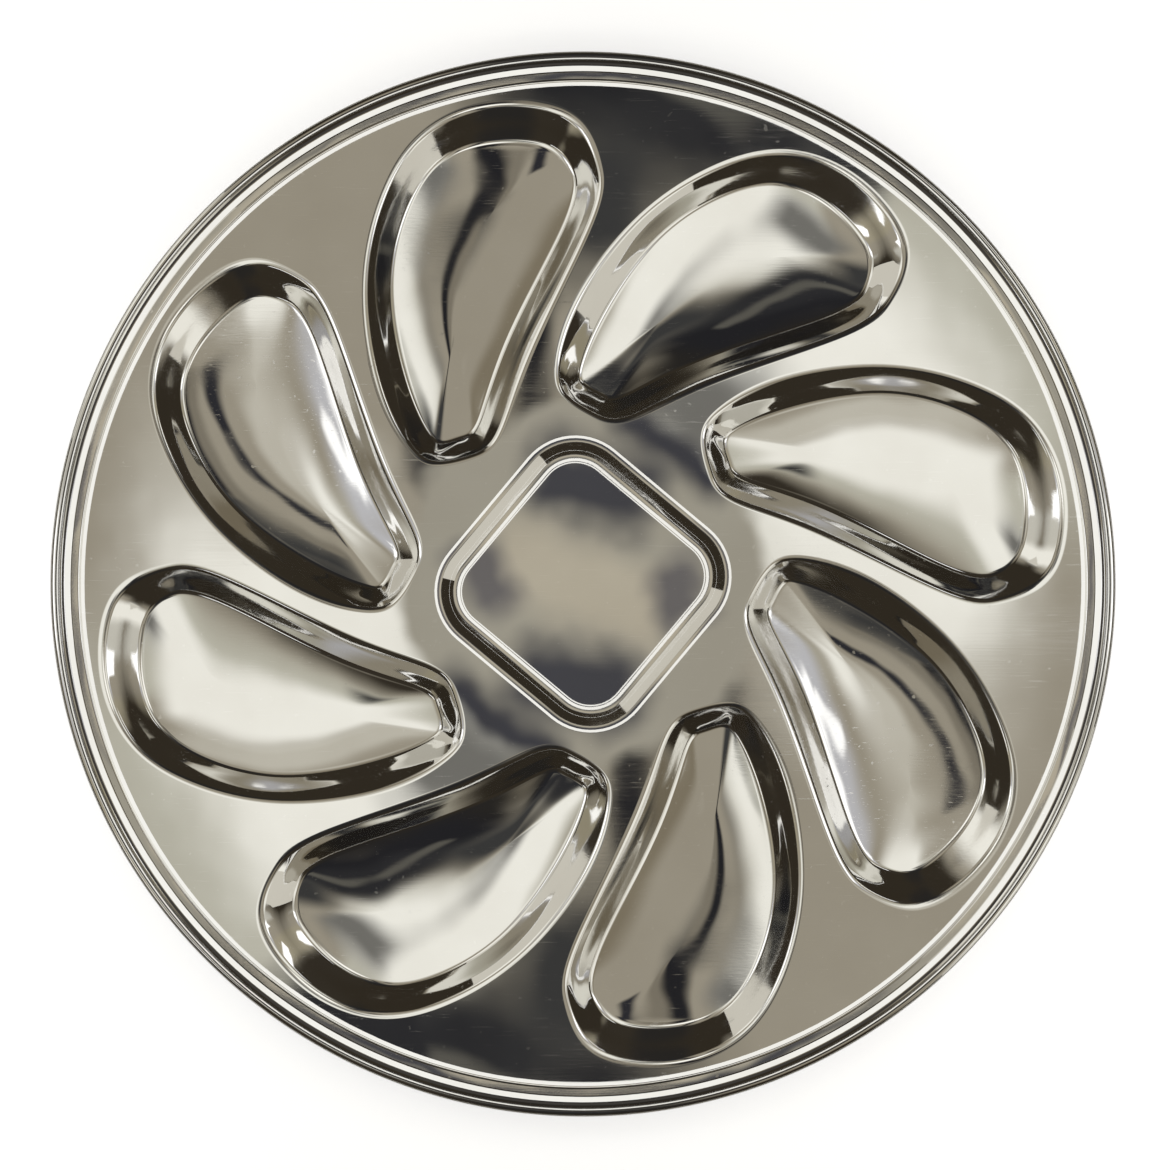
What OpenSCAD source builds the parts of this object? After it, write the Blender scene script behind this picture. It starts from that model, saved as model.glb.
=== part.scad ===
// Oyster plate: one round sheet of stainless steel, pressed in one go.
// A raised rim with a rolled edge stands round a flat flange. Eight curved
// wells with dished floors fan round a shallow square compartment with rounded
// corners in the middle. The plate rests on small flat lands under the wells.
// Origin: centre of the plate, on the table it rests on. +Z up, millimetres.

/* [Plate] */
// Diameter over the rolled edge
plate_d = 250; // [230:1:280]
// Thickness of the sheet
sheet_t = 0.7; // [0.5:0.05:0.85]

/* [Rim] */
// Width from the outside of the rolled edge to the flat flange
rim_w = 7.65; // [7:0.05:10]
// Height of the rim's ridge above the flange
rim_rise = 2.3; // [1.9:0.1:3]
// Steepness of the step from the flange up to the ridge, degrees
rim_slope = 60; // [50:1:68]
// Radius where the flange turns up into the step
rim_foot_r = 1.3; // [1:0.1:1.8]
// Radius over the ridge
rim_ridge_r = 1.1; // [0.9:0.1:1.2]
// Downward slope of the rim where it meets the rolled edge, degrees
rim_fall = 26; // [18:1:32]
// Radius of the rolled edge
hem_r = 1.05; // [0.95:0.05:1.3]

/* [Wells] */
// Number of wells
well_count = 8; // [5:1:8]
// Length of a well over its mouth
well_length = 90; // [78:0.5:92]
// Width of a well over its mouth
well_width = 49; // [40:0.1:50]
// Radius of the circle on which the wells' middles lie
well_ring_r = 79.2; // [77:0.1:82]
// Angle of the first well's middle from +X, degrees
well_start = 21.42; // [0:0.1:44]
// Lean of a well's long axis away from the radius, degrees
well_lean = 44.7; // [42:0.1:47]
// Drop from the flange to the edge of a well's floor
well_wall = 6; // [5.4:0.1:7.5]
// Further drop of the dished floor
well_dish = 2; // [1.5:0.1:3]
// Steepness of a well's wall, degrees
well_slope = 45; // [42:1:52]
// Radius over the lip of a well
well_lip_r = 2.5; // [1.6:0.1:3]
// Radius where the wall turns into the floor
well_foot_r = 2.6; // [1.6:0.1:3.2]

/* [Middle compartment] */
// Distance across the mouth, side to side
mid_across = 58.5; // [50:0.1:60]
// Corner radius of the mouth
mid_corner_r = 14.8; // [12:0.1:18]
// Width of the sloping wall as seen from above
mid_band = 6.3; // [5.6:0.1:7.5]
// Depth of the flat floor below the flange
mid_depth = 3.8; // [3:0.1:5]
// Radius over the lip and at the foot of the wall
mid_r = 2.7; // [2:0.1:2.8]
// Direction of the first side from +X, degrees
mid_turn = 50.1; // [0:0.1:90]

/* [Hidden] */

steel = [0.79, 0.785, 0.765];
// points round a well and round a corner of the middle compartment
well_n = 36;
corner_n = 5;
// slope of the dished floor at its edge, degrees
dish_edge = 12;
// size of the flat land inside the dish, as a share of the floor
land = 0.2;
// z of the flange's upper face: the lands' undersides lie on z = 0
flange_z = well_wall + well_dish + sheet_t;

// Control points of the two smooth closed curves that shape a well, drawn for a
// well of this length and width: its mouth on the flange, and its floor's edge.
// The narrow end is on the left, the nearly straight side is the lower one.
drawn = [90, 49];
size = [well_length / drawn[0], well_width / drawn[1]];
mouth_ctl = [
    [-40, -20.5], [-46, -12.5], [-44.5, -5.5], [-35, 8], [-11.5, 22],
    [11.5, 25.5], [27.5, 22.5], [39.5, 11.5], [45.5, -3.5], [44.5, -14],
    [36, -21.5], [28, -26], [-14, -22.5], [-34.5, -26]];
floor_ctl = [
    [-35, -15.5], [-39.5, -11.5], [-37.5, -8], [-28.5, 1], [-9, 15],
    [11.5, 17.5], [23.5, 14.5], [31, 5], [34.5, -5], [34.5, -9.5],
    [32.5, -14.5], [25.5, -19], [-12.5, -14.5], [-33.5, -18.5]];
// the dish's deepest line bends with the well: its height across the well is
// valley[0] + valley[1] x + valley[2] x^2
valley = [-1, 0.11, -0.0075];
// how much shorter that line is than the floor
valley_len = 0.45;

// Point on a closed uniform cubic spline, t from 0 to the number of controls
function spline(c, t) =
    let (m = len(c), i = floor(t), u = t - i, w = 1 - u)
    (w * w * w * c[(i + m - 1) % m]
        + (3 * u * u * u - 6 * u * u + 4) * c[i % m]
        + (3 * w * w * w - 6 * w * w + 4) * c[(i + 1) % m]
        + u * u * u * c[(i + 2) % m]) / 6;

function well_curve(c) = [for (j = [0:well_n - 1])
    let (p = spline(c, j * len(c) / well_n)) [p[0] * size[0], p[1] * size[1]]];

// Section through a wall, from the mouth down to the floor: lip radius r1, slope a,
// foot radius r2, ending at slope e. Each entry is [inward, height, slope].
function wall(r1, r2, a, e, drop, n1, n2) =
    let (l = (drop - r1 * (1 - cos(a)) - r2 * (cos(e) - cos(a))) / sin(a),
        xa = r1 * sin(a) + l * cos(a), za = -r1 * (1 - cos(a)) - l * sin(a))
    concat(
        [for (i = [0:n1]) let (p = a * i / n1) [r1 * sin(p), -r1 * (1 - cos(p)), p]],
        [for (i = [0:n2]) let (p = a + (e - a) * i / n2)
            [xa + r2 * (sin(a) - sin(p)), za - r2 * (cos(p) - cos(a)), p]]);

// One ring of a wall between a mouth curve and a floor curve; d is how far the
// skin lies under the upper face.
function wall_ring(mouth, foot, w, full, d) = [for (j = [0:len(mouth) - 1])
    let (v = foot[j] - mouth[j], g = norm(v), q = w[0] / full * g - d * sin(w[2]))
    [mouth[j][0] + v[0] / g * q, mouth[j][1] + v[1] / g * q, w[1] - d * cos(w[2])]];

// One ring of a dished floor: k is 1 at its edge and falls towards the valley.
function dish_ring(foot, k, z) = [for (p = foot)
    let (x = valley_len * p[0], v = x / size[0],
        y = size[1] * (valley[0] + valley[1] * v + valley[2] * v * v))
    [x * (1 - k) + p[0] * k, y * (1 - k) + p[1] * k, z]];

// Solid sheet between an upper and a lower stack of rings, each from the mouth
// to the floor, with the curves running clockwise. The flat middle is laid out in
// strips across it, from point c to the point opposite.
module pressed(upper, lower, c) {
    n = len(upper[0]);
    a = len(upper);
    b = len(lower);
    function at(i, j) = i * n + (j + n) % n;
    function strips(i) = [for (j = [0:n / 2 - 1])
        let (f = [at(i, c + j), at(i, c + j + 1), at(i, c - j - 1), at(i, c - j)])
        j == 0 ? [f[0], f[1], f[2]] : j == n / 2 - 1 ? [f[0], f[1], f[3]] : f];
    polyhedron(
        points = [for (r = concat(upper, lower)) each r],
        faces = concat(
            [for (i = [0:a - 2], j = [0:n - 1]) [at(i, j), at(i, j + 1), at(i + 1, j + 1)]],
            [for (i = [0:a - 2], j = [0:n - 1]) [at(i, j), at(i + 1, j + 1), at(i + 1, j)]],
            [for (i = [a:a + b - 2], j = [0:n - 1]) [at(i + 1, j + 1), at(i, j + 1), at(i, j)]],
            [for (i = [a:a + b - 2], j = [0:n - 1]) [at(i + 1, j), at(i + 1, j + 1), at(i, j)]],
            [for (j = [0:n - 1]) [at(0, j + 1), at(0, j), at(a, j), at(a, j + 1)]],
            strips(a - 1),
            [for (f = strips(a + b - 1)) [for (k = [len(f) - 1:-1:0]) f[k]]]),
        convexity = 6);
}

well_mouth = well_curve(mouth_ctl);
well_floor = well_curve(floor_ctl);

function well_skin(d, n1, n2, steps) =
    let (w = wall(well_lip_r, well_foot_r, well_slope, dish_edge, well_wall, n1, n2),
        full = w[len(w) - 1][0])
    concat(
        [for (p = w) wall_ring(well_mouth, well_floor, p, full, d)],
        [for (k = steps) dish_ring(well_floor, k,
            -well_wall - well_dish * (1 - k * k) / (1 - land * land) - d)]);

module well() {
    pressed(well_skin(0, 3, 2, [0.74, 0.47, land]), well_skin(sheet_t, 2, 1, [0.6, land]), 2);
}

module well_places() {
    for (k = [0:well_count - 1])
        rotate([0, 0, well_start + k * 360 / well_count])
            translate([well_ring_r, 0, flange_z]) rotate([0, 0, -well_lean]) children();
}

// Square with rounded corners, clockwise: a is half its width, r its corner radius.
function square_curve(a, r) = [for (k = [0:3], i = [0:corner_n])
    let (c = 45 - 90 * k, f = c + 45 - 90 * i / corner_n)
    [(a - r) * sqrt(2) * cos(c) + r * cos(f), (a - r) * sqrt(2) * sin(c) + r * sin(f)]];

mid_mouth = square_curve(mid_across / 2, mid_corner_r);
mid_floor = square_curve(mid_across / 2 - mid_band, mid_corner_r - mid_band);
// slope of the wall that takes the depth within the band
mid_slope = 2 * atan(mid_depth / (mid_band
    + sqrt(mid_band * mid_band + mid_depth * mid_depth - 4 * mid_r * mid_depth)));

function mid_skin(d, n) =
    let (w = wall(mid_r, mid_r, mid_slope, 0, mid_depth, n, n), full = w[len(w) - 1][0])
    [for (p = w) wall_ring(mid_mouth, mid_floor, p, full, d)];

module middle() {
    pressed(mid_skin(0, 3), mid_skin(sheet_t, 2), 0);
}

module mid_place() {
    translate([0, 0, flange_z]) rotate([0, 0, mid_turn]) children();
}

// Section of the flange and rim from the axis outwards, d under the upper face.
flange_r = plate_d / 2 - rim_w;
step_l = (rim_rise - (rim_foot_r + rim_ridge_r) * (1 - cos(rim_slope))) / sin(rim_slope);
brow_x = flange_r + (rim_foot_r + rim_ridge_r) * sin(rim_slope) + step_l * cos(rim_slope);
hem_x = plate_d / 2 - hem_r;
brow_r = (hem_x - hem_r * cos(30) - brow_x) / sin(rim_fall);
hem_z = rim_rise - brow_r * (1 - cos(rim_fall)) - hem_r / 2;

function rim_skin(d, n) = concat(
    [[0, -d]],
    [for (i = [0:n]) let (p = rim_slope * i / n, r = rim_foot_r + d)
        [flange_r + r * sin(p), rim_foot_r - r * cos(p)]],
    [for (i = [0:n]) let (p = rim_slope * (1 - i / n), r = rim_ridge_r - d)
        [brow_x - r * sin(p), rim_rise - rim_ridge_r + r * cos(p)]],
    [for (i = [1:n]) let (p = rim_fall * i / n, r = brow_r - d)
        [brow_x + r * sin(p), rim_rise - brow_r + r * cos(p)]]);

module flange_and_rim() {
    low = rim_skin(sheet_t, 3);
    translate([0, 0, flange_z]) rotate_extrude($fn = 180) polygon(concat(
        rim_skin(0, 4),
        [for (i = [1:12]) let (f = 150 - i * 305 / 12)
            [hem_x + hem_r * cos(f), hem_z + hem_r * sin(f)]],
        [for (i = [len(low) - 1:-1:0]) low[i]]));
}

// the hole that a pocket fills in the flange
module mouth(curve) {
    translate([0, 0, -sheet_t - 1]) linear_extrude(sheet_t + 2) polygon(curve);
}

module plate() {
    color(steel) union() {
        difference() {
            flange_and_rim();
            well_places() mouth(well_mouth);
            mid_place() mouth(mid_mouth);
        }
        well_places() well();
        mid_place() middle();
    }
}

plate();
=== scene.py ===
"""Oyster plate of pressed stainless steel, seen from straight above on white.

The sheet is one closed mesh with the CAD model's forms, made fine enough to mirror its
surroundings cleanly. Lengths of the sheet and of the slim rings over it are in millimetres,
those of the rest of the studio in metres. Angles are in degrees.
"""
from math import atan2, cos, degrees, pi, radians, sin, sqrt

import bpy
from mathutils import Matrix, Vector
from mathutils.geometry import delaunay_2d_cdt


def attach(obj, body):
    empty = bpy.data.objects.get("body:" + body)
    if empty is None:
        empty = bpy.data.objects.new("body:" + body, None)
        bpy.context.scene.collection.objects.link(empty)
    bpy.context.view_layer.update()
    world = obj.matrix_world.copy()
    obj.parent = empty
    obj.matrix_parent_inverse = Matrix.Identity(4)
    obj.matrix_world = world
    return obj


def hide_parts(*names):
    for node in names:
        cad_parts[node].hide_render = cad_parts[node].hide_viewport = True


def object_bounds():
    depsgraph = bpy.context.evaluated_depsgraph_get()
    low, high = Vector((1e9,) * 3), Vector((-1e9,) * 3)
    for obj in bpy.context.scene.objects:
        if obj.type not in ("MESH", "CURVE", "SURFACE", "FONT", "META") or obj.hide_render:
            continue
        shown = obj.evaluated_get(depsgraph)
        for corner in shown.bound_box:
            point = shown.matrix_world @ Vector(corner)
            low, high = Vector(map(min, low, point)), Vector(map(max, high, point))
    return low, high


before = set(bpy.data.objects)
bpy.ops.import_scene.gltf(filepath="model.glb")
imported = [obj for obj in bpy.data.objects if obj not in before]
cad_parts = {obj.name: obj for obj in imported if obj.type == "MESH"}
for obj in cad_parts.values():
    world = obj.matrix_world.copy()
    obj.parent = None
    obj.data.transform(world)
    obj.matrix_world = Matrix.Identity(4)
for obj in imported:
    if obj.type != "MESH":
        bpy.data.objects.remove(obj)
cad_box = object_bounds()

MM = 0.001
UP = Vector((0, 0, 1))

# Sizes of the sheet, as the CAD model has them
PLATE_R = min(cad_box[1].x, -cad_box[0].x) / MM
SHEET_T = 0.7

# Wells: how many, how far out their middles lie, the first one's direction and how far each leans from it
WELL_COUNT = 8
WELL_RING_R = 79.2
WELL_START = 21.42
WELL_LEAN = 44.7
# A well's wall and, below its foot, the dish: their depths, and the slopes of the wall and the dish's edge
WELL_WALL = 6
WELL_DISH = 2
WELL_SLOPE = 45
DISH_EDGE = 12
WELL_LIP_R = 2.5
WELL_FOOT_R = 2.6
# The wall's slope swells by this much half way down, and ebbs as much at its ends
WALL_SWELL = 1.5

# Control points of a well's mouth and of its floor's edge, clockwise, narrow end on the left
MOUTH = [(-40, -20.5), (-46, -12.5), (-44.5, -5.5), (-35, 8), (-11.5, 22), (11.5, 25.5), (27.5, 22.5),
         (39.5, 11.5), (45.5, -3.5), (44.5, -14), (36, -21.5), (28, -26), (-14, -22.5), (-34.5, -26)]
FLOOR = [(-35, -15.5), (-39.5, -11.5), (-37.5, -8), (-28.5, 1), (-9, 15), (11.5, 17.5), (23.5, 14.5),
         (31, 5), (34.5, -5), (34.5, -9.5), (32.5, -14.5), (25.5, -19), (-12.5, -14.5), (-33.5, -18.5)]
# The dish's deepest line: its length as a share of the floor's, and the quadratic that bends it
VALLEY_LEN = 0.45
VALLEY = (-1, 0.11, -0.0075)

# The square compartment in the middle: its mouth, the width and depth of its wall, the radius of its lip
# and foot, and its direction
MID_ACROSS = 58.5
MID_CORNER_R = 14.8
MID_BAND = 6.3
MID_DEPTH = 3.8
MID_R = 2.7
MID_TURN = 50.1

# The rim and its rolled edge. It is fuller than in the CAD model: its foot lies a little further out,
# it rises at 45 degrees to a rounder ridge, and it falls more steeply outside.
RIM_W = 7.2
RIM_RISE = 2.3
RIM_SLOPE = 45
RIM_FOOT_R = 1.3
RIM_RIDGE_R = 2
RIM_FALL = 40
HEM_R = 1.05
# Directions from the rolled edge's centre: where the rim meets it, where its own points start and how
# far round they go
HEM_MEET = 150
HEM_START = 147
HEM_SWEEP = 300

FLANGE_Z = WELL_WALL + WELL_DISH + SHEET_T
FLANGE_R = PLATE_R - RIM_W

# How fine the mesh is: points round a well, round the middle's corners and sides, and round the rim
WELL_N = 144
CORNER_N = 14
SIDE_N = 6
RIM_N = 360
HEM_N = 28
# Rings of the dish on the upper and the under face: 1 is the floor's edge and 0 the deepest line
TOP_STEPS = (0.98, 0.95, 0.91, 0.86, 0.8, 0.73, 0.65, 0.57, 0.49, 0.41, 0.33, 0.25, 0.17, 0.09, 0.03)
UNDER_STEPS = (0.94, 0.84, 0.7, 0.55, 0.4, 0.25, 0.1)
# The point of a well's ring from which its last ring is closed
WELL_SEAM = 10
# How near two points of the flat flange may be before they are taken as one
SAME_POINT = 1e-5


def turned(turn):
    """A turn about the plate's axis."""
    return Matrix.Rotation(radians(turn), 4, "Z")


def spline(control, count):
    """A closed uniform cubic spline through these controls, as so many points."""
    points = []
    for j in range(count):
        t = j * len(control) / count
        i, u = int(t), t - int(t)
        w = 1 - u
        weights = (w ** 3, 3 * u ** 3 - 6 * u * u + 4, 3 * w ** 3 - 6 * w * w + 4, u ** 3)
        around = [control[(i + k) % len(control)] for k in (-1, 0, 1, 2)]
        points.append(Vector((sum(a * p[0] for a, p in zip(weights, around)) / 6,
                              sum(a * p[1] for a, p in zip(weights, around)) / 6)))
    return points


def square(half, corner_r):
    """A square with rounded corners, clockwise, with a few points along each side."""
    points = []
    for k in range(4):
        middle = radians(45 - 90 * k)
        centre = Vector((cos(middle), sin(middle))) * (half - corner_r) * sqrt(2)
        for i in range(CORNER_N + 1):
            turn = middle + radians(45 - 90 * i / CORNER_N)
            points.append(centre + Vector((cos(turn), sin(turn))) * corner_r)
        across = Vector((cos(middle - pi / 4), sin(middle - pi / 4))) * half
        along = Vector((sin(middle - pi / 4), -cos(middle - pi / 4))) * (half - corner_r)
        points += [across + along * (2 * i / SIDE_N - 1) for i in range(1, SIDE_N)]
    return points


def wall(lip_r, foot_r, slope, end_slope, drop, lip_n, foot_n, swell=0, side_n=1):
    """Section through a pocket's wall, from the mouth down: (inward, height, slope) of each point.
    Between lip and foot the slope swells by so many degrees in the middle and ebbs at the ends."""
    slope, last, swell = radians(slope), radians(end_slope), radians(swell)
    first = slope - swell
    lip = [first * i / lip_n for i in range(lip_n + 1)]
    points = [(lip_r * sin(p), -lip_r * (1 - cos(p)), p) for p in lip]
    leans = [slope - swell * cos(2 * pi * (i + 0.5) / side_n) for i in range(side_n)]
    straight = drop - lip_r * (1 - cos(first)) - foot_r * (cos(last) - cos(first))
    piece = straight / sum(sin(p) for p in leans)
    x, z, _ = points[-1]
    for i, lean in enumerate(leans):
        x, z = x + piece * cos(lean), z - piece * sin(lean)
        points.append((x, z, slope - swell * cos(2 * pi * (i + 1) / side_n)))
    for p in [first + (last - first) * i / foot_n for i in range(1, foot_n + 1)]:
        points.append((x + foot_r * (sin(first) - sin(p)), z - foot_r * (cos(p) - cos(first)), p))
    return points


def ring_normals(ring, inward):
    """Upward normals of a ring of points, given the direction in which the surface goes inwards."""
    normals = []
    for j, direction in enumerate(inward):
        along = ring[(j + 1) % len(ring)] - ring[j - 1]
        normal = along.cross(direction).normalized()
        normals.append(normal if normal.z > 0 else -normal)
    return normals


def wall_rings(mouth, floor, section, depth):
    """Rings of a pocket's wall, (points, upward normals), that far under the upper face."""
    full = section[-1][0]
    rings = []
    for inward, height, slope in section:
        upper = [Vector((*(m + (f - m) * inward / full), height)) for m, f in zip(mouth, floor)]
        normals = ring_normals(upper, [
            Vector((*((f - m) * cos(slope) / full), -sin(slope))) for m, f in zip(mouth, floor)])
        rings.append(([p - n * depth for p, n in zip(upper, normals)], normals))
    return rings


def valley_point(x):
    """A point of the dish's deepest line, seen from above."""
    return Vector((x, sum(c * x ** i for i, c in enumerate(VALLEY))))


def dish_rings(floor, steps, depth):
    """Rings of a well's dished floor. A step is 1 at the floor's edge and falls to 0 at the valley."""
    valley = [valley_point(VALLEY_LEN * p.x) for p in floor]
    rings = []
    for k in steps:
        height = -WELL_WALL - WELL_DISH * (1 - k * k)
        ring = [Vector((*(v * (1 - k) + p * k), height)) for v, p in zip(valley, floor)]
        normals = ring_normals(ring, [
            Vector((*(v - p), -2 * k * WELL_DISH)) for v, p in zip(valley, floor)])
        rings.append(([p - UP * depth for p in ring], normals))
    return rings


def soften(rings, seam):
    """Evens out the normals where the wall's foot meets the dish."""
    before, at, after = rings[seam - 1][1], rings[seam][1], rings[seam + 1][1]
    for j, normal in enumerate(at):
        at[j] = (before[j] + normal + after[j] * 2).normalized()


def well_rings(depth, lip_n, foot_n, steps, swell=0, side_n=1):
    """Rings of a well, that far under the upper face."""
    mouth, floor = spline(MOUTH, WELL_N), spline(FLOOR, WELL_N)
    section = wall(WELL_LIP_R, WELL_FOOT_R, WELL_SLOPE, DISH_EDGE, WELL_WALL, lip_n, foot_n, swell, side_n)
    rings = wall_rings(mouth, floor, section, depth) + dish_rings(floor, steps, depth)
    soften(rings, len(section) - 1)
    return rings


def middle_rings(depth, wall_n):
    """Rings of the middle compartment's wall, that far under the upper face. Its slope is the one at
    which the lip, the straight and the foot together are as wide and as deep as the wall."""
    mouth = square(MID_ACROSS / 2, MID_CORNER_R)
    floor = square(MID_ACROSS / 2 - MID_BAND, MID_CORNER_R - MID_BAND)
    root = sqrt(MID_BAND ** 2 + MID_DEPTH ** 2 - 4 * MID_R * MID_DEPTH)
    slope = degrees(2 * atan2(MID_DEPTH, MID_BAND + root))
    return wall_rings(mouth, floor, wall(MID_R, MID_R, slope, 0, MID_DEPTH, wall_n, wall_n), depth)


def rim_section():
    """Section of the rim, from the flange's upper face out round the rolled edge and back under it:
    (radius, height, direction of the normal) of each point."""
    slope, fall, meet = radians(RIM_SLOPE), radians(RIM_FALL), radians(HEM_MEET)
    step = (RIM_RISE - (RIM_FOOT_R + RIM_RIDGE_R) * (1 - cos(slope))) / sin(slope)
    brow_x = FLANGE_R + (RIM_FOOT_R + RIM_RIDGE_R) * sin(slope) + step * cos(slope)
    hem_x = PLATE_R - HEM_R
    brow_r = (hem_x + HEM_R * cos(meet) - brow_x) / sin(fall)
    hem_z = RIM_RISE - brow_r * (1 - cos(fall)) - HEM_R * sin(meet)

    def over(depth, side, n):
        """The rim's foot, ridge and brow, that far under the upper face."""
        skin = []
        for i in range(n + 1):
            p, r = slope * i / n, RIM_FOOT_R + depth
            skin.append((FLANGE_R + r * sin(p), RIM_FOOT_R - r * cos(p), pi / 2 + p + side))
        for i in range(n + 1):
            p, r = slope * (1 - i / n), RIM_RIDGE_R - depth
            skin.append((brow_x - r * sin(p), RIM_RISE - RIM_RIDGE_R + r * cos(p), pi / 2 + p + side))
        for i in range(1, n + 1):
            p, r = fall * i / n, brow_r - depth
            skin.append((brow_x + r * sin(p), RIM_RISE - brow_r + r * cos(p), pi / 2 - p + side))
        return skin

    hem = [radians(HEM_START - i * HEM_SWEEP / HEM_N) for i in range(HEM_N + 1)]
    rolled = [(hem_x + HEM_R * cos(f), hem_z + HEM_R * sin(f), f) for f in hem]
    return over(0, 0, n=8) + rolled + over(SHEET_T, pi, n=5)[::-1]


def rim_ring(radius, height, face):
    """One ring of the rim: its points and its normals."""
    turns = [2 * pi * j / RIM_N for j in range(RIM_N)]
    points = [Vector((radius * cos(t), radius * sin(t), FLANGE_Z + height)) for t in turns]
    normals = [Vector((cos(face) * cos(t), cos(face) * sin(t), sin(face))) for t in turns]
    return points, normals


class Sheet:
    """Points, normals and faces of the plate, gathered ring by ring."""

    def __init__(self):
        self.points, self.normals, self.faces = [], [], []

    def ring(self, points, normals):
        """Adds a ring and returns the numbers of its points."""
        start = len(self.points)
        self.points += points
        self.normals += normals
        return list(range(start, len(self.points)))

    def face(self, corners):
        """Adds a face, turned so that it looks where its corners' normals do."""
        p = [self.points[i] for i in corners]
        out = (p[1] - p[0]).cross(p[2] - p[0])
        mean = sum((self.normals[i] for i in corners), Vector())
        self.faces.append(corners if out.dot(mean) > 0 else corners[::-1])

    def skin(self, rings):
        """Joins each ring to the next."""
        for a, b in zip(rings, rings[1:]):
            for j in range(len(a)):
                k = (j + 1) % len(a)
                self.face([a[j], a[k], b[k], b[j]])

    def close(self, ring, start):
        """Lays strips across a ring, from one of its points to the point opposite."""
        n = len(ring)
        for j in range(n // 2):
            corners = [ring[(start + j) % n], ring[(start + j + 1) % n],
                       ring[(start - j - 1) % n], ring[(start - j) % n]]
            self.face(list(dict.fromkeys(corners)))

    def pocket(self, rings, place, side, start=0):
        """Adds a pocket at its place and returns the ring of its mouth. The side is 1 on the upper face
        and -1 on the under face."""
        turn = place.to_3x3()
        laid = [self.ring([place @ p for p in points], [turn @ n * side for n in normals])
                for points, normals in rings]
        self.skin(laid)
        self.close(laid[-1], start)
        return laid[0]

    def flat(self, outer, holes):
        """Fills the flat flange between an outer ring and its holes."""
        index = outer + [i for hole in holes for i in hole]
        edges, start = [], 0
        for loop in [outer] + holes:
            edges += [(start + j, start + (j + 1) % len(loop)) for j in range(len(loop))]
            start += len(loop)
        flat = [self.points[i].xy for i in index]
        outlines = [[self.points[i].xy for i in hole] for hole in holes]
        points, _, faces, sources, _, _ = delaunay_2d_cdt(flat, edges, [], 1, SAME_POINT)
        for face in faces:
            middle = sum((points[i] for i in face), Vector((0, 0))) / 3
            if not any(inside(middle, outline) for outline in outlines):
                self.face([index[sources[i][0]] for i in face])


def inside(point, outline):
    """Whether a point lies within a closed outline."""
    crossings = 0
    for a, b in zip(outline, outline[1:] + outline[:1]):
        if (a.y > point.y) != (b.y > point.y):
            crossings += point.x < a.x + (point.y - a.y) / (b.y - a.y) * (b.x - a.x)
    return crossings % 2 == 1


def build_plate():
    """The whole sheet as one object."""
    sheet = Sheet()
    lift = Matrix.Translation((0, 0, FLANGE_Z))
    lean = Matrix.Translation((WELL_RING_R, 0, 0)) @ turned(-WELL_LEAN)
    wells = [lift @ turned(WELL_START + k * 360 / WELL_COUNT) @ lean for k in range(WELL_COUNT)]
    middle = lift @ turned(MID_TURN)
    top_well = well_rings(0, lip_n=7, foot_n=8, steps=TOP_STEPS, swell=WALL_SWELL, side_n=6)
    under_well = well_rings(SHEET_T, lip_n=4, foot_n=3, steps=UNDER_STEPS)
    top_holes = [sheet.pocket(top_well, place, 1, WELL_SEAM) for place in wells]
    top_holes.append(sheet.pocket(middle_rings(0, wall_n=8), middle, 1))
    under_holes = [sheet.pocket(under_well, place, -1, WELL_SEAM) for place in wells]
    under_holes.append(sheet.pocket(middle_rings(SHEET_T, wall_n=5), middle, -1))
    rim = [sheet.ring(*rim_ring(*point)) for point in rim_section()]
    sheet.skin(rim)
    sheet.flat(rim[0], top_holes)
    sheet.flat(rim[-1], under_holes)
    mesh = bpy.data.meshes.new("pressed_sheet")
    mesh.from_pydata([p * MM for p in sheet.points], [], sheet.faces)
    mesh.shade_smooth()
    mesh.normals_split_custom_set_from_vertices(sheet.normals)
    piece = bpy.data.objects.new("pressed_sheet", mesh)
    bpy.context.scene.collection.objects.link(piece)
    return piece


def node(tree, kind, inputs=None, **settings):
    """Adds a node. An input is a value or another node's socket."""
    made = tree.nodes.new("ShaderNode" + kind)
    for name, value in settings.items():
        setattr(made, name, value)
    for name, value in (inputs or {}).items():
        if isinstance(value, bpy.types.NodeSocket):
            tree.links.new(value, made.inputs[name])
        else:
            made.inputs[name].default_value = value
    return made


def new_tree(name):
    material = bpy.data.materials.new(name)
    material.use_nodes = True
    material.node_tree.nodes.clear()
    return material, material.node_tree


def finish(tree, shader):
    out = node(tree, "OutputMaterial")
    tree.links.new(shader, out.inputs["Surface"])


def number(tree, operation, a, b=0.0):
    """Works out a number from one or two others."""
    return node(tree, "Math", {0: a, 1: b}, operation=operation).outputs[0]


def vector(tree, operation, a, b=(0, 0, 0), result="Vector"):
    """Works out a vector from one or two others, or a number where the result asked for is Value."""
    return node(tree, "VectorMath", {0: a, 1: b}, operation=operation).outputs[result]


def remap(tree, value, low, high, to_low=0.0, to_high=1.0, curve="LINEAR"):
    """Takes a value from one range to another, held at the ends."""
    inputs = {"Value": value, "From Min": low, "From Max": high, "To Min": to_low, "To Max": to_high}
    return node(tree, "MapRange", inputs, interpolation_type=curve).outputs["Result"]


def fade(tree, value, middle, soft, rising):
    """1 on one side of the middle and 0 on the other, blending softly across it."""
    ends = (0.0, 1.0) if rising else (1.0, 0.0)
    return remap(tree, value, middle - soft / 2, middle + soft / 2, *ends, curve="SMOOTHSTEP")


def paint(tree, under, cover, colour):
    """Lays a colour over what is under it, as far as it covers."""
    return node(tree, "MixRGB", {"Fac": cover, "Color1": under, "Color2": (*colour, 1)}).outputs[0]


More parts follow.
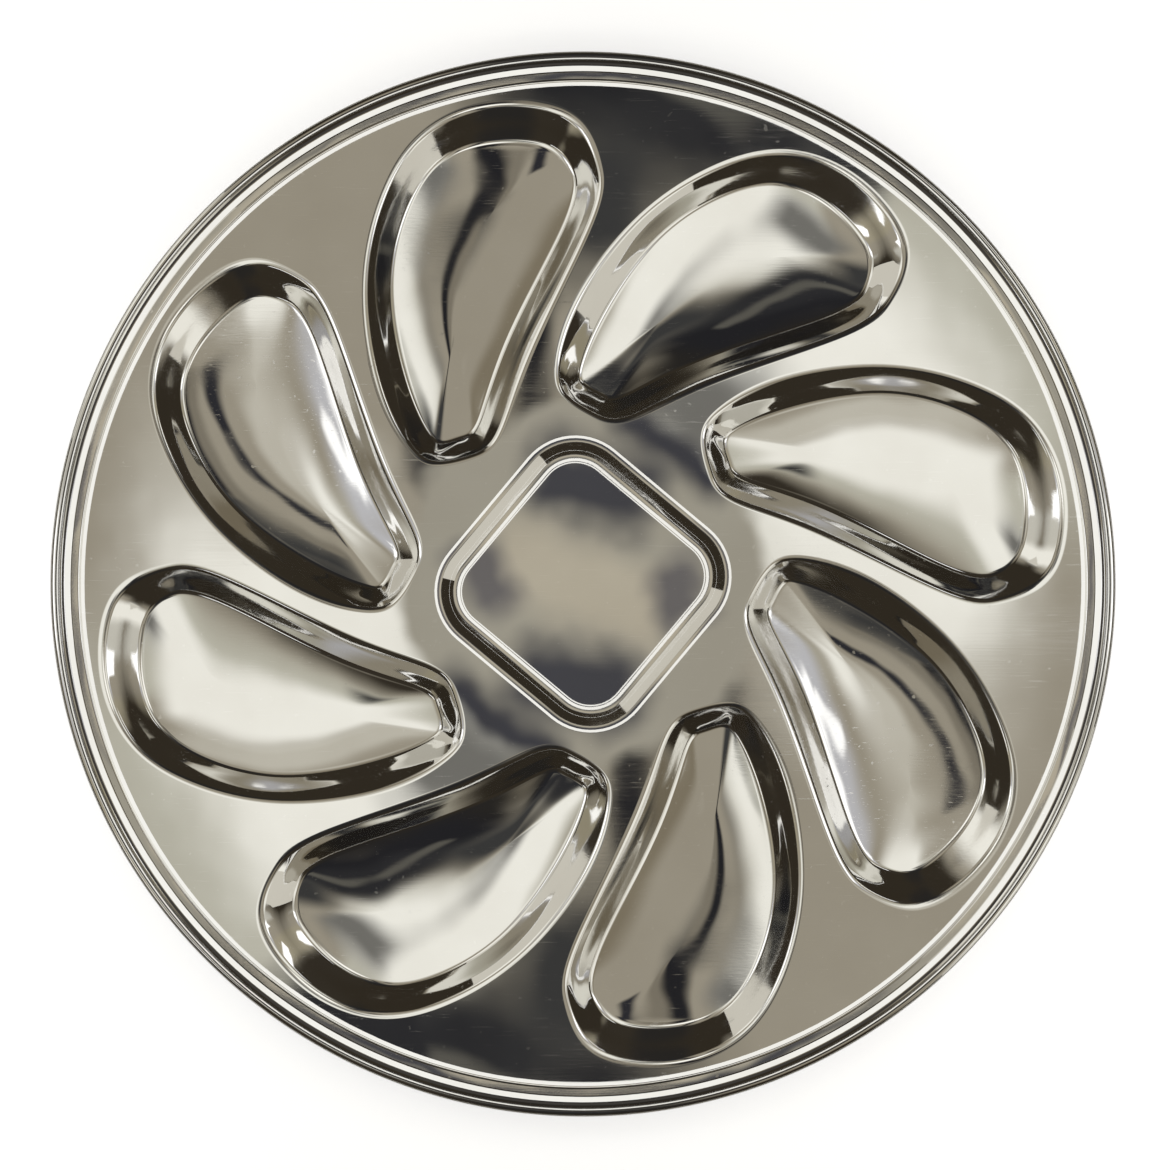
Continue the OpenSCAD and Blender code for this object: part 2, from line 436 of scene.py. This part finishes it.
def noise(tree, place, scale, detail, turn=0, stretch=1):
    """Noise from 0 to 1 at each place, drawn out along a direction where it is stretched."""
    if stretch != 1:
        drawn = {"Vector": place, "Rotation": (0, 0, radians(turn)), "Scale": (1, stretch, stretch)}
        place = node(tree, "Mapping", drawn).outputs["Vector"]
    return node(tree, "TexNoise", {"Vector": place, "Scale": scale, "Detail": detail}).outputs["Fac"]


# The steel's colour where it is clean, smudged and scratched
STEEL_COLOUR = (0.79, 0.785, 0.765)
SMUDGE_COLOUR = (0.745, 0.735, 0.71)
SCRATCH_COLOUR = (0.86, 0.86, 0.85)
# Its roughness where it is smooth and where it is rubbed, and what a scratch adds
SMOOTH = 0.03
RUBBED = 0.13
SCRATCHED = 0.25
# How high the waves from the press and the rubbed lines stand, in metres
WAVE_HEIGHT = 0.00026
LINE_HEIGHT = 0.000006
# Two families of scratches: (scale and detail of the noise, direction, stretch, and the values between
# which a scratch comes up)
SCRATCHES = [(90.0, 2.0, -52, 26, 0.69, 0.74), (130.0, 1.0, 18, 40, 0.70, 0.75)]
# Scratches are plainest round one place and its twin across the middle, both in metres, and this
# plain elsewhere
WORN_PLACE = (-0.064, 0.044)
WORN_REACH = 0.03
WORN_LEAST = 0.4


def near(tree, place, x, y, reach):
    """1 around a place on the plate, fading to 0 at its reach."""
    far = vector(tree, "DISTANCE", place, (x, y, FLANGE_Z * MM), "Value")
    return remap(tree, far, reach / 2, reach, 1.0, 0.0)


def wear(tree, place):
    """Scratches and specks, from 0 to 1."""
    marks = remap(tree, noise(tree, place, scale=620.0, detail=1.0), 0.735, 0.765)
    for scale, detail, turn, stretch, low, high in SCRATCHES:
        scratch = remap(tree, noise(tree, place, scale, detail, turn, stretch), low, high)
        marks = number(tree, "MAXIMUM", marks, scratch)
    x, y = WORN_PLACE
    used = number(tree, "MAXIMUM", *[near(tree, place, side * x, side * y, WORN_REACH) for side in (1, -1)])
    return number(tree, "MULTIPLY", marks, remap(tree, used, 0.0, 1.0, WORN_LEAST, 1.0))


def polished_steel():
    """Polished sheet: bright, faintly uneven from the press, rubbed in patches, with scratches and specks."""
    material, tree = new_tree("polished_steel")
    place = node(tree, "TexCoord").outputs["Object"]
    waves = noise(tree, place, scale=30.0, detail=2.0)
    lines = noise(tree, place, scale=55.0, detail=3.0, turn=38, stretch=40)
    rubbed = number(tree, "MULTIPLY", lines, remap(tree, waves, 0.50, 0.70))
    press = node(tree, "Bump", {"Height": waves, "Strength": 1.0, "Distance": WAVE_HEIGHT})
    rub = node(tree, "Bump", {"Height": rubbed, "Strength": 1.0, "Distance": LINE_HEIGHT,
                              "Normal": press.outputs["Normal"]})
    worn = wear(tree, place)
    added = number(tree, "MULTIPLY", worn, SCRATCHED)
    rough = number(tree, "ADD", remap(tree, rubbed, 0.0, 0.6, SMOOTH, RUBBED), added)
    smudge = remap(tree, noise(tree, place, scale=45.0, detail=3.0), 0.35, 0.7)
    colour = paint(tree, (*STEEL_COLOUR, 1), smudge, SMUDGE_COLOUR)
    colour = paint(tree, colour, worn, SCRATCH_COLOUR)
    shader = node(tree, "BsdfPrincipled", {
        "Base Color": colour, "Metallic": 1.0, "Roughness": rough, "Normal": rub.outputs["Normal"]})
    finish(tree, shader.outputs["BSDF"])
    return material


# The studio. A ceiling hangs over the plate, painted with soft sectors and strips. The light comes
# alike from both sides: all that is painted on it, and each card, has a twin across the middle.
# Lifts are heights over the flange.
CEILING_LIFT = 0.20
CEILING_HALF = 3
CEILING_COLOUR = (0.385, 0.35, 0.28)
FLOOR_HALF = 3
WHITE = (1, 1, 1)
# The edges of what is painted wander by this much, in waves of this scale and detail
WANDER = 0.016
WANDER_SCALE = 14
WANDER_DETAIL = 2.0
# Far from the middle the ceiling fades into a dark room
DARK_ROOM = (0.036, 0.029, 0.02)
# A radius past the ceiling's edge, and a half angle that takes in all directions
FAR = 9
ALL_ROUND = 100
# Sectors round the middle, each painted over those before it: (direction, half angle, soft angle,
# from radius, to radius, soft edge, colour)
SECTORS = [
    (38, 30, 24, 0.0, 0.15, 0.05, (0.60, 0.585, 0.50)),
    (-26, 10, 10, 0.065, 0.12, 0.04, (0.62, 0.59, 0.51)),
    (27, 40, 22, 0.045, 0.12, 0.03, (1.05, 1.035, 0.96)),
    (-50, 24, 14, 0.16, 0.21, 0.03, (0.25, 0.215, 0.155)),
    (2, 16, 12, 0.15, 0.30, 0.03, (0.60, 0.60, 0.63)),
    (-14, 12, 8, 0.21, 0.45, 0.04, (0.66, 0.64, 0.57)),
    (-68, 14, 8, 0.22, FAR, 0.04, DARK_ROOM),
    (72, 35, 14, 0.17, FAR, 0.05, (0.04, 0.033, 0.024)),
    (90, 14, 12, 0.135, FAR, 0.04, (0.025, 0.023, 0.021)),
    (28, 9, 8, 0.24, FAR, 0.03, (0.42, 0.38, 0.28)),
    (0, ALL_ROUND, 10, 0.5, FAR, 0.3, DARK_ROOM),
    (-34, 11, 10, 0.21, FAR, 0.03, (1.05, 1.03, 0.95)),
]
# Strips: (x, y, half length, half width, turn, soft edge, colour). They lie above a line through the
# middle in the fold's direction, and their twins below it
STRIPS_FOLD = -20
STRIPS = [
    (0.018, 0.145, 0.022, 0.016, -20, 0.03, (0.02, 0.02, 0.023)),
    (0.05, 0.124, 0.026, 0.006, -30, 0.018, (0.03, 0.03, 0.033)),
    (-0.002, 0.106, 0.012, 0.008, 0, 0.03, (0.05, 0.05, 0.05)),
    (-0.022, 0.062, 0.003, 0.03, 0, 0.008, (0.24, 0.215, 0.17)),
    (-0.014, 0.062, 0.002, 0.03, 0, 0.007, (0.02, 0.02, 0.023)),
    (-0.0415, 0.045, 0.002, 0.016, 16, 0.007, (0.03, 0.03, 0.036)),
    (0.026, 0.136, 0.016, 0.001, -27, 0.006, (0.12, 0.115, 0.1)),
    (0.03, 0.05, 0.010, 0.004, -35, 0.025, (0.20, 0.195, 0.18)),
    (0.164, 0.0, 0.018, 0.003, 60, 0.007, (1.4, 1.4, 1.4)),
    (0.25, 0.18, 0.08, 0.015, -5, 0.01, (1.6, 1.6, 1.6)),
    (0.27, 0.0, 0.09, 0.03, 0, 0.01, (1.6, 1.6, 1.6)),
]
# The ceiling's bright middle
BRIGHT_R = 0.022
BRIGHT_SOFT = 0.012
BRIGHT_COLOUR = (1.3, 1.28, 1.22)

# A small round screen hangs low over the middle compartment, with its own strips
SCREEN_LIFT = 0.011
SCREEN_HALF = 0.05
SCREEN_R = 0.043
SCREEN_SOFT = 0.006
SCREEN_WANDER = 0.012
SCREEN_WANDER_SCALE = 60
SCREEN_COLOUR = (0.41, 0.385, 0.32)
SCREEN_FOLD = -40
SCREEN_STRIPS = [
    (0.0, 0.0, 0.016, 0.003, -20, 0.012, (0.54, 0.49, 0.39)),
    (0.002, 0.0235, 0.010, 0.003, -12, 0.012, (0.07, 0.07, 0.08)),
    (0.0235, -0.002, 0.002, 0.004, 20, 0.009, (0.17, 0.16, 0.16)),
    (0.024, 0.038, 0.012, 0.006, -35, 0.010, (0.06, 0.06, 0.07)),
]

# Slim rings hang just over the plate, in millimetres. Over the rim's foot and ridge there is a pale one,
# and a dark one outside that: (name, inner radius, outer radius, colour)
PALE = (1.15, 1.14, 1.1)
RINGS = [("pale_ring", 117.4, 121.7, PALE), ("dark_ring", 122.1, 123.6, (0.06, 0.055, 0.05))]
RING_LIFT = 3.4
RING_N = 180
# By the middle compartment's lip and foot there are two pale square ones: (name, how far in from its mouth
# they start and end, height over the flange)
SQUARE_RINGS = [("lip_ring", 0.8, 3.4, 3.4), ("foot_ring", 6.3, 6.6, -2.0)]

# A pale card stands on end at each side: direction, distance, sideways from and to, height and colour
STAND_TURN = -45
STAND_OUT = 0.45
STAND_SIDE = (-0.02, 0.25)
STAND_TOP = 0.19
STAND_COLOUR = (0.72, 0.69, 0.61)

# The floor's paper, and how strongly it glows for the camera: a little less round the plate
PAPER_COLOUR = (0.85, 0.85, 0.85)
GLOW_NEAR_R = 0.15
GLOW_FAR_R = 0.4
GLOW_NEAR = 0.75
GLOW_FAR = 1.0


def local_place(tree, place, x, y, turn):
    """The place as a card sees it: how far it lies along and across the card, without sign."""
    laid = {"Vector": place, "Location": (x, y, 0), "Rotation": (0, 0, radians(turn))}
    return vector(tree, "ABSOLUTE", node(tree, "Mapping", laid, vector_type="TEXTURE").outputs["Vector"])


def sector(tree, place, radius, turn, half, soft, start, end, edge):
    """How much of a sector and its twin covers each place."""
    parts = node(tree, "SeparateXYZ", {"Vector": local_place(tree, place, 0, 0, turn)}).outputs
    angle = number(tree, "ARCTAN2", parts["Y"], parts["X"])
    cover = fade(tree, angle, radians(half), radians(soft), rising=False)
    if start > 0:
        cover = number(tree, "MULTIPLY", cover, fade(tree, radius, start, edge, rising=True))
    if end < FAR:
        cover = number(tree, "MULTIPLY", cover, fade(tree, radius, end, edge, rising=False))
    return cover


def strip(tree, place, x, y, half_x, half_y, turn, soft):
    """How much of a strip covers each place: 1 inside its rectangle, fading over its soft edge."""
    past = vector(tree, "SUBTRACT", local_place(tree, place, x, y, turn), (half_x, half_y, 1))
    far = vector(tree, "LENGTH", vector(tree, "MAXIMUM", past), result="Value")
    return fade(tree, far, soft / 2, soft, rising=False)


def folded(tree, place, turn):
    """Turns the half below a fold half round, on to the half above it, so that twins share one place."""
    turn = radians(turn)
    height = vector(tree, "DOT_PRODUCT", place, (-sin(turn), cos(turn), 0), "Value")
    side = number(tree, "SIGN", height)
    return node(tree, "VectorMath", {0: place, "Scale": side}, operation="SCALE").outputs["Vector"]


def painted_strips(tree, place, colour, strips, fold):
    """Paints strips and their twins over a colour."""
    place = folded(tree, place, fold)
    for x, y, half_x, half_y, turn, soft, shade in strips:
        colour = paint(tree, colour, strip(tree, place, x, y, half_x, half_y, turn, soft), shade)
    return colour


def place_and_radius(tree, reach=0, scale=1):
    """The place on a flat piece and how far it is from the middle, both wandering a little."""
    place = node(tree, "TexCoord").outputs["Object"]
    if reach > 0:
        waves = node(tree, "TexNoise", {"Vector": place, "Scale": scale, "Detail": WANDER_DETAIL})
        shift = vector(tree, "SUBTRACT", waves.outputs["Color"], (0.5, 0.5, 0.5))
        place = vector(tree, "ADD", place, vector(tree, "MULTIPLY", shift, (reach, reach, 0)))
    return place, vector(tree, "LENGTH", place, result="Value")


def new_light(name):
    """A material for what glows. Rays find it on their own, so it needn't be sampled as a lamp."""
    material, tree = new_tree(name)
    material.cycles.emission_sampling = "NONE"
    return material, tree


def shine(tree, colour):
    return node(tree, "Emission", {"Color": colour, "Strength": 1.0}).outputs[0]


def ceiling_light():
    material, tree = new_light("ceiling_light")
    place, radius = place_and_radius(tree, WANDER, WANDER_SCALE)
    colour = (*CEILING_COLOUR, 1)
    for turn, half, soft, start, end, edge, shade in SECTORS:
        colour = paint(tree, colour, sector(tree, place, radius, turn, half, soft, start, end, edge), shade)
    bright = fade(tree, radius, BRIGHT_R, BRIGHT_SOFT, rising=False)
    colour = paint(tree, colour, bright, BRIGHT_COLOUR)
    colour = painted_strips(tree, place, colour, STRIPS, STRIPS_FOLD)
    finish(tree, shine(tree, colour))
    return material


def screen_light():
    """A glowing round screen, clear outside its radius."""
    material, tree = new_light("screen_light")
    place, radius = place_and_radius(tree, SCREEN_WANDER, SCREEN_WANDER_SCALE)
    colour = painted_strips(tree, place, (*SCREEN_COLOUR, 1), SCREEN_STRIPS, SCREEN_FOLD)
    clear = node(tree, "BsdfTransparent").outputs[0]
    mix = node(tree, "MixShader", {"Fac": fade(tree, radius, SCREEN_R, SCREEN_SOFT, rising=True)})
    tree.links.new(shine(tree, colour), mix.inputs[1])
    tree.links.new(clear, mix.inputs[2])
    finish(tree, mix.outputs[0])
    return material


def plain_light(name, colour):
    material, tree = new_light(name)
    finish(tree, shine(tree, (*colour, 1)))
    return material


def white_paper():
    """The floor: pale, with the object's shadow, and glowing white where the camera sees it."""
    material, tree = new_light("white_paper")
    _, radius = place_and_radius(tree)
    seen = node(tree, "LightPath").outputs["Is Camera Ray"]
    glow = remap(tree, radius, GLOW_NEAR_R, GLOW_FAR_R, GLOW_NEAR, GLOW_FAR)
    paper = node(tree, "BsdfDiffuse", {"Color": (*PAPER_COLOUR, 1)})
    strength = number(tree, "MULTIPLY", glow, seen)
    light = node(tree, "Emission", {"Color": (*WHITE, 1), "Strength": strength})
    both = node(tree, "AddShader")
    tree.links.new(paper.outputs[0], both.inputs[0])
    tree.links.new(light.outputs[0], both.inputs[1])
    finish(tree, both.outputs[0])
    return material


def staged(name, corners, z, material, faces=None):
    """A flat piece of the studio, at its height, that the camera sees through."""
    mesh = bpy.data.meshes.new(name)
    mesh.from_pydata(corners, [], faces or [tuple(range(len(corners)))])
    mesh.materials.append(material)
    card = bpy.data.objects.new(name, mesh)
    card.location.z = z
    card.visible_camera = False
    bpy.context.scene.collection.objects.link(card)
    return card


def square_corners(half):
    return [(-half, -half, 0), (half, -half, 0), (half, half, 0), (-half, half, 0)]


def ring_card(name, inner, outer, lift, colour):
    """A slim ring at a height over the flange, between two outlines with as many points each."""
    count = len(inner)
    corners = [(p.x * MM, p.y * MM, 0) for pair in zip(inner, outer) for p in pair]
    faces = [(2 * j, 2 * j + 1, (2 * j + 3) % (2 * count), (2 * j + 2) % (2 * count)) for j in range(count)]
    return staged(name, corners, (FLANGE_Z + lift) * MM, plain_light(name, colour), faces)


def circle(radius):
    turns = [2 * pi * j / RING_N for j in range(RING_N)]
    return [Vector((cos(t), sin(t))) * radius for t in turns]


def hang_rings():
    for name, inner, outer, colour in RINGS:
        ring_card(name, circle(inner), circle(outer), RING_LIFT, colour)
    for name, start, end, lift in SQUARE_RINGS:
        inner, outer = [square(MID_ACROSS / 2 - d, MID_CORNER_R - d) for d in (end, start)]
        ring_card(name, inner, outer, lift, PALE).rotation_euler.z = radians(MID_TURN)


def stand_cards():
    light = plain_light("card_light", STAND_COLOUR)
    start, end = STAND_SIDE
    corners = [(start, 0), (end, 0), (end, STAND_TOP), (start, STAND_TOP)]
    for k in range(2):
        turn = turned(STAND_TURN + 180 * k)
        card = [tuple(turn @ Vector((STAND_OUT, side, height))) for side, height in corners]
        staged(f"standing_card_{k + 1}", card, 0, light)


def light_world():
    """A dark room, which the camera sees as white."""
    world = bpy.data.worlds.new("studio")
    bpy.context.scene.world = world
    world.use_nodes = True
    tree = world.node_tree
    tree.nodes.clear()
    seen = node(tree, "LightPath").outputs["Is Camera Ray"]
    sky = node(tree, "Background", {"Color": paint(tree, (*DARK_ROOM, 1), seen, WHITE), "Strength": 1.0})
    out = node(tree, "OutputWorld")
    tree.links.new(sky.outputs[0], out.inputs["Surface"])


def build_studio():
    floor = staged("floor", square_corners(FLOOR_HALF), 0, white_paper())
    floor.visible_camera = True
    staged("ceiling", square_corners(CEILING_HALF), FLANGE_Z * MM + CEILING_LIFT, ceiling_light())
    staged("screen", square_corners(SCREEN_HALF), FLANGE_Z * MM + SCREEN_LIFT, screen_light())
    hang_rings()
    stand_cards()
    light_world()


# The photograph is square, seen from straight above, with the plate's middle just off its own. The first
# three are in its pixels, and the sensor is in millimetres
PHOTO_SIZE = 1170
PHOTO_MIDDLE = (583, 584)
PHOTO_PLATE_R = 532
CAMERA_HEIGHT = 1.2
SENSOR = 36


def build_camera():
    camera = bpy.data.cameras.new("camera")
    pixel = PLATE_R * MM / PHOTO_PLATE_R
    camera.sensor_width = SENSOR
    camera.lens = SENSOR * CAMERA_HEIGHT / (PHOTO_SIZE * pixel)
    eye = bpy.data.objects.new("camera", camera)
    eye.location = ((PHOTO_SIZE / 2 - PHOTO_MIDDLE[0]) * pixel, (PHOTO_MIDDLE[1] - PHOTO_SIZE / 2) * pixel,
                    FLANGE_Z * MM + CAMERA_HEIGHT)
    bpy.context.scene.collection.objects.link(eye)
    bpy.context.scene.camera = eye


plate = build_plate()
plate.data.materials.append(polished_steel())
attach(plate, "root")
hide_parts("plate")
build_studio()
build_camera()
bpy.context.scene.view_settings.view_transform = "Standard"
